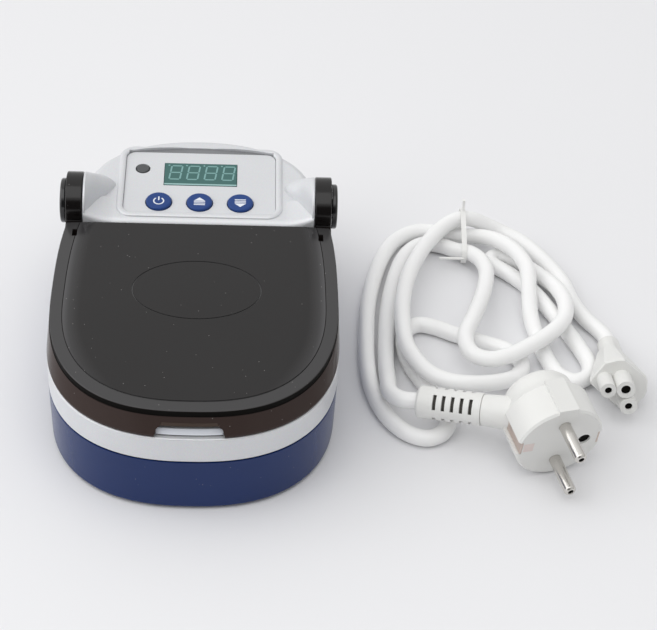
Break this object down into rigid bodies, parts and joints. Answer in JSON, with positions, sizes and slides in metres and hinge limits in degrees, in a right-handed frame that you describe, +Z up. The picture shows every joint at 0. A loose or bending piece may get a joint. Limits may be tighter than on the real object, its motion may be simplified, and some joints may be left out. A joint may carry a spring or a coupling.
{
  "type": "dental wax heater",
  "caption": "Desktop dental wax heater: rounded two-tone case, hinged smoked lid over wax wells, sloping control panel with display and buttons, detachable mains lead with plug.",
  "frame": {"origin": "on the table under the middle of the unit, without its lead", "axes": "+Z up, front of the unit and its finger notch towards -Y, control panel and hinge towards +Y"},
  "size_m": [0.2396, 0.1758, 0.0615],
  "materials": {
    "blue_shell": "satin moulded",
    "silver_shell": "silver metallic lacquer",
    "smoked_lid": "smoked, polished",
    "black_plastic": "polished black",
    "dark_plastic": "matt",
    "light_plastic": "matt",
    "black_rubber": "matt",
    "panel": "printed film, satin",
    "display_glass": "tinted window",
    "blue_button": "satin",
    "lamp": "unlit, clear grey",
    "circuit_board": "solder mask",
    "steel": "zinc plated",
    "nickel": "nickel plated",
    "tray_metal": "dark coated",
    "seal_rubber": "matt",
    "heater": "mica sheet",
    "mineral_fibre": "felted",
    "winding": "varnished",
    "relay_blue": "moulded",
    "fuse_glass": "clear",
    "grey_cable": "flat cable",
    "brass_contact": "plated",
    "white_cord": "white sheath, satin",
    "white_plastic": "white, satin moulded",
    "clear_tie": "clear coated wire"
  },
  "bodies": {
    "housing": {"base_shell": "blue_shell", "rubber_feet": "black_rubber", "case_screws": "steel", "top_housing": "silver_shell", "hinge_pin_left": "black_plastic", "hinge_pin_right": "black_plastic", "panel_plate": "panel", "display_window": "display_glass", "display_module": "light_plastic", "status_lamp": "lamp", "control_board": "circuit_board", "key_switches": "black_plastic", "control_screws": "steel", "wax_tray": "tray_metal", "tray_seal": "seal_rubber", "heater_plate": "heater", "insulation_pad": "mineral_fibre", "clamp_plate": "steel", "clamp_screws": "steel", "temperature_sensor": "steel", "thermal_cutout": "dark_plastic", "power_board": "circuit_board", "transformer": "winding", "relay": "relay_blue", "fuse": "fuse_glass", "power_screws": "steel", "ribbon_cable": "grey_cable", "power_inlet": "black_plastic", "inlet_pins": "brass_contact", "switch_frame": "black_plastic", "power_cord": "white_cord", "cord_tie": "clear_tie", "plug_body": "white_plastic", "plug_boot": "white_plastic", "plug_pins": "nickel", "plug_earth_clips": "brass_contact", "connector_body": "white_plastic", "connector_contacts": "brass_contact"},
    "lid": {"lid": "smoked_lid"},
    "button_set": {"button_set": "blue_button"},
    "button_up": {"button_up": "blue_button"},
    "button_down": {"button_down": "blue_button"},
    "switch_rocker": {"switch_rocker": "black_plastic"}
  },
  "joints": [
    {"name": "lid_hinge", "type": "hinge", "parent": "housing", "child": "lid", "pos_m": [0, 0.043, 0.0495], "axis": [-1, 0, 0], "range_deg": [0, 105]},
    {"name": "button_set_press", "type": "slide", "parent": "housing", "child": "button_set", "axis": [0, 0.0698, -0.9976], "range_m": [0, 0.0006], "stiffness_N_per_m": 300},
    {"name": "button_up_press", "type": "slide", "parent": "housing", "child": "button_up", "axis": [0, 0.0698, -0.9976], "range_m": [0, 0.0006], "stiffness_N_per_m": 300},
    {"name": "button_down_press", "type": "slide", "parent": "housing", "child": "button_down", "axis": [0, 0.0698, -0.9976], "range_m": [0, 0.0006], "stiffness_N_per_m": 300},
    {"name": "rocker_tilt", "type": "hinge", "parent": "housing", "child": "switch_rocker", "pos_m": [-0.013, 0.08, 0.0135], "axis": [0, 0, -1], "range_deg": [0, 20]}
  ]
}
